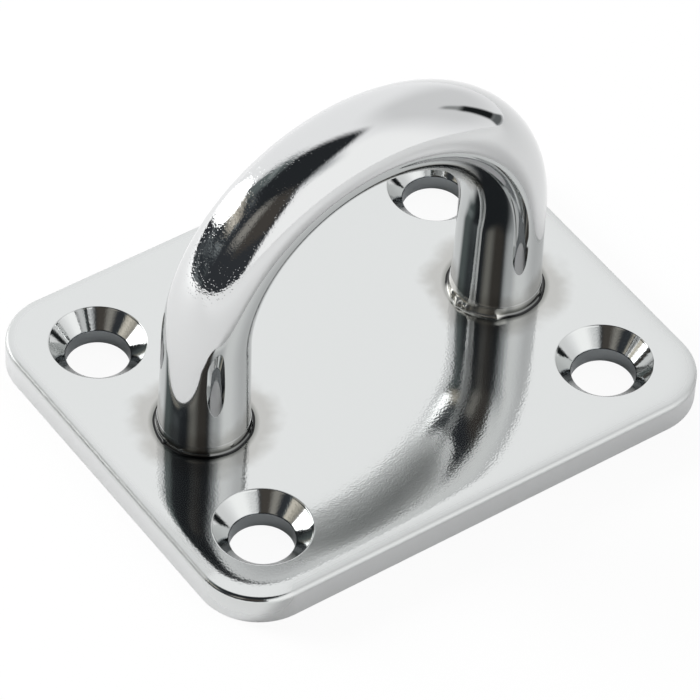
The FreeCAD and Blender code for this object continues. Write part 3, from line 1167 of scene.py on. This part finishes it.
@dataclass
class Studio:
    """White sweep, soft light and the camera."""

    camera_azimuth: float = -127.310
    camera_elevation: float = 46.193
    camera_roll: float = 3.470
    camera_distance: float = 449.31
    camera_target: tuple[float, float, float] = (-0.460, -0.358, 3.732)
    focal_pixels: float = 5243.6
    camera_reach: tuple[float, float] = (10.0, 20000.0)
    floor_size: float = 4000.0
    paper: str = "#F2F2F2"
    paper_roughness: float = 0.9
    paper_middle: tuple[float, float, float] = (-185.0, 10.0, 0.0)
    paper_reach: tuple[float, float] = (375.0, 140.0)
    # How much the paper glows to the steel in front and behind, and the places along Y where that changes.
    lift_for_steel: tuple[float, float] = (0.18, 0.03)
    lift_fades: tuple[float, float] = (-60.0, -28.0)
    white_for_camera: float = 0.93
    white: str = "#FFFFFF"
    sweep: str = "#FEFEFF"
    sweep_level: float = 1.2
    lamp_direction: tuple[float, float] = (124.0, 20.0)
    lamp_distance: float = 600.0
    lamp_size: float = 240.0
    lamp_watts: float = 4.8
    cards: tuple[Card, ...] = STUDIO_CARDS
    streak_scale: tuple[float, float, float] = (1.3, 1.3, 14.0)
    streak_range: tuple[float, float] = (0.42, 0.72)

    def build(self) -> None:
        """Set up the view settings, the floor, the light and the camera."""
        bpy.context.scene.view_settings.view_transform = "Standard"
        self.lay_floor()
        self.hang_cards()
        self.light_soft_box()
        self.place_camera()

    def place_camera(self) -> None:
        """Stand the camera where the photograph was taken from."""
        data = bpy.data.cameras.new("camera")
        data.sensor_width = SENSOR_WIDTH
        data.lens = self.focal_pixels / IMAGE_WIDTH * SENSOR_WIDTH
        data.clip_start, data.clip_end = (reach * METRES for reach in self.camera_reach)
        camera = bpy.data.objects.new("camera", data)
        bpy.context.scene.collection.objects.link(camera)
        back = direction(self.camera_azimuth, self.camera_elevation)
        roll = Quaternion((0.0, 0.0, 1.0), math.radians(self.camera_roll))
        camera.rotation_mode = "QUATERNION"
        camera.rotation_quaternion = back.to_track_quat("Z", "Y") @ roll
        camera.location = (Vector(self.camera_target) + self.camera_distance * back) * METRES
        bpy.context.scene.camera = camera

    def light_soft_box(self) -> None:
        """Light the paper from the soft box.

        The steel mirrors the box as a card, so it doesn't see the lamp.
        """
        data = bpy.data.lights.new("soft_box_lamp", "AREA")
        data.shape = "DISK"
        data.size = self.lamp_size * METRES
        data.energy = self.lamp_watts
        lamp = bpy.data.objects.new("soft_box_lamp", data)
        bpy.context.scene.collection.objects.link(lamp)
        away = direction(*self.lamp_direction)
        lamp.location = away * self.lamp_distance * METRES
        lamp.rotation_mode = "QUATERNION"
        lamp.rotation_quaternion = away.to_track_quat("Z", "Y")
        lamp.visible_glossy = False

    def lay_floor(self) -> None:
        """Lay the white paper that the part stands on."""
        mesh = bmesh.new()
        bmesh.ops.create_grid(mesh, x_segments=1, y_segments=1, size=self.floor_size * METRES / 2)
        data = bpy.data.meshes.new("paper_floor")
        mesh.to_mesh(data)
        mesh.free()
        floor = bpy.data.objects.new("paper_floor", data)
        bpy.context.scene.collection.objects.link(floor)
        data.materials.append(self.floor_material())

    def floor_material(self) -> Material:
        """Build white paper that the camera sees as pure white where no shadow falls.

        The sheet is narrow: past its edges the steel mirrors the room round it, and the camera sees white.

        Returns:
            The material.
        """
        made = new_material("white_paper")
        tree = made.node_tree
        path = add_node(tree, "ShaderNodeLightPath")
        place = add_node(tree, "ShaderNodeTexCoord").outputs["Object"]
        across = add_node(tree, "ShaderNodeSeparateXYZ", None, {0: place}).outputs["Y"]
        # The paper's glow to the steel, stronger in front than behind.
        steel_glow = add_node(
            tree, "ShaderNodeMapRange", EASED,
            {"Value": across,
             "From Min": self.lift_fades[0] * METRES, "From Max": self.lift_fades[1] * METRES,
             "To Min": self.lift_for_steel[0], "To Max": self.lift_for_steel[1]})
        lift = add_node(
            tree, "ShaderNodeMath", {"operation": "MULTIPLY"},
            {0: path.outputs["Is Glossy Ray"], 1: steel_glow.outputs["Result"]})
        paper = add_node(
            tree, "ShaderNodeBsdfPrincipled", None,
            {"Base Color": linear(self.paper), "Roughness": self.paper_roughness, "Specular IOR Level": 0.0,
             "Emission Color": linear(self.white), "Emission Strength": lift.outputs[0]})
        plain = add_node(tree, "ShaderNodeEmission", None, {"Color": linear(self.white)})
        share = add_node(
            tree, "ShaderNodeMath", {"operation": "MULTIPLY"},
            {0: path.outputs["Is Camera Ray"], 1: self.white_for_camera})
        shader = add_node(
            tree, "ShaderNodeMixShader", None,
            {0: share.outputs[0], 1: paper.outputs[0], 2: plain.outputs[0]})
        middle = tuple(length * METRES for length in self.paper_middle)
        offset = add_node(tree, "ShaderNodeVectorMath", {"operation": "SUBTRACT"}, {0: place, 1: middle})
        fold = add_node(tree, "ShaderNodeVectorMath", {"operation": "ABSOLUTE"}, {0: offset.outputs[0]})
        sides = add_node(tree, "ShaderNodeSeparateXYZ", None, {0: fold.outputs[0]})
        past = [
            add_node(
                tree, "ShaderNodeMath", {"operation": "GREATER_THAN"},
                {0: sides.outputs[axis], 1: reach * METRES}).outputs[0]
            for axis, reach in zip(("X", "Y"), self.paper_reach)]
        beyond = add_node(tree, "ShaderNodeMath", {"operation": "MAXIMUM"}, {0: past[0], 1: past[1]})
        opened = add_node(
            tree, "ShaderNodeMath", {"operation": "MULTIPLY"},
            {0: beyond.outputs[0], 1: path.outputs["Is Glossy Ray"]})
        clear = add_node(tree, "ShaderNodeBsdfTransparent")
        shown = add_node(
            tree, "ShaderNodeMixShader", None,
            {0: opened.outputs[0], 1: shader.outputs[0], 2: clear.outputs[0]})
        add_node(tree, "ShaderNodeOutputMaterial", None, {"Surface": shown.outputs[0]})
        return made

    def hang_cards(self) -> None:
        """Make the studio round the part: a white tent with cards in it, and plain white for the camera."""
        world = bpy.data.worlds.new("studio")
        bpy.context.scene.world = world
        world.use_nodes = True
        tree = world.node_tree
        tree.nodes.clear()
        look = add_node(tree, "ShaderNodeTexCoord").outputs["Generated"]
        colour: Socket | Colour = shone(self.sweep, self.sweep_level)
        for card in self.cards:
            cover = self.card_cover(tree, look, card)
            glow: Socket | Colour = shone(card.glow, card.level)
            if card.streak:
                glow = self.streaked(tree, look, glow, linear(card.streak))
            mix = add_node(
                tree, "ShaderNodeMix", COLOUR_MIX, {"Factor": cover, "A": colour, "B": glow})
            mix.label = card.name
            colour = mix.outputs["Result"]
        tent = add_node(tree, "ShaderNodeBackground", None, {"Color": colour})
        plain = add_node(tree, "ShaderNodeBackground", None, {"Color": linear(self.white)})
        path = add_node(tree, "ShaderNodeLightPath")
        shown = add_node(
            tree, "ShaderNodeMixShader", None,
            {0: path.outputs["Is Camera Ray"], 1: tent.outputs[0], 2: plain.outputs[0]})
        add_node(tree, "ShaderNodeOutputWorld", None, {"Surface": shown.outputs[0]})

    def streaked(self, tree: Tree, look: Socket, dark: Colour, light: Colour) -> Socket:
        """Lay soft level streaks of a light colour over a dark one.

        Args:
            tree: The world's node tree.
            look: The direction looked along.
            dark: The card's own colour.
            light: The streaks' colour.

        Returns:
            The streaked colour.
        """
        flat = add_node(
            tree, "ShaderNodeVectorMath", {"operation": "MULTIPLY"}, {0: look, 1: self.streak_scale})
        noise = add_node(
            tree, "ShaderNodeTexNoise", None,
            {"Vector": flat.outputs[0], "Scale": 1.0, **RAGGED_NOISE})
        share = add_node(
            tree, "ShaderNodeMapRange", EASED,
            {"Value": noise.outputs["Fac"],
             "From Min": self.streak_range[0], "From Max": self.streak_range[1]})
        mix = add_node(
            tree, "ShaderNodeMix", COLOUR_MIX,
            {"Factor": share.outputs["Result"], "A": dark, "B": light})
        return mix.outputs["Result"]

    def card_cover(self, tree: Tree, look: Socket, card: Card) -> Socket:
        """Work out how much a card covers of each direction.

        Args:
            tree: The world's node tree.
            look: The direction looked along.
            card: The card.

        Returns:
            1 on the card, 0 off it, and soft between.
        """
        corners = [direction(*corner) for corner in card.corners]
        soft = math.sin(math.radians(card.softness))
        cover = None
        for start, end in zip(corners, corners[1:] + corners[:1]):
            inward = start.cross(end).normalized()
            side = add_node(
                tree, "ShaderNodeVectorMath", {"operation": "DOT_PRODUCT"}, {0: look, 1: inward})
            edge = add_node(
                tree, "ShaderNodeMapRange", EASED,
                {"Value": side.outputs["Value"], "From Min": -soft, "From Max": soft})
            inside = edge.outputs["Result"]
            if cover is None:
                cover = inside
            else:
                both = add_node(tree, "ShaderNodeMath", {"operation": "MULTIPLY"}, {0: cover, 1: inside})
                cover = both.outputs[0]
        return cover


def main() -> None:
    """Build the part's pieces, then the studio round them."""
    logging.basicConfig(level=logging.INFO, format="%(name)s: %(message)s")
    sizes = PadEyeSizes.from_frame()
    sheet_finish = PolishedSheet()
    bar_finish = PolishedBar()
    bead_finish = PolishedWeld()
    bead_material = bead_finish.material(sizes.plate_thickness, sizes.bead_top)
    ground_finish = GroundWeld().material()
    sheet_material = sheet_finish.material(sizes.leg_spacing / 2, sizes.plate_thickness)
    BasePlate(sizes, sheet_material, sheet_finish).build()
    Bow(sizes, bar_finish.material(), bar_finish).build()
    for side in Side:
        WeldBead(sizes, bead_material, bead_finish, side).build()
        UndersideWeld(sizes, ground_finish, side).build()
    Studio().build()


if __name__ == "__main__":
    main()
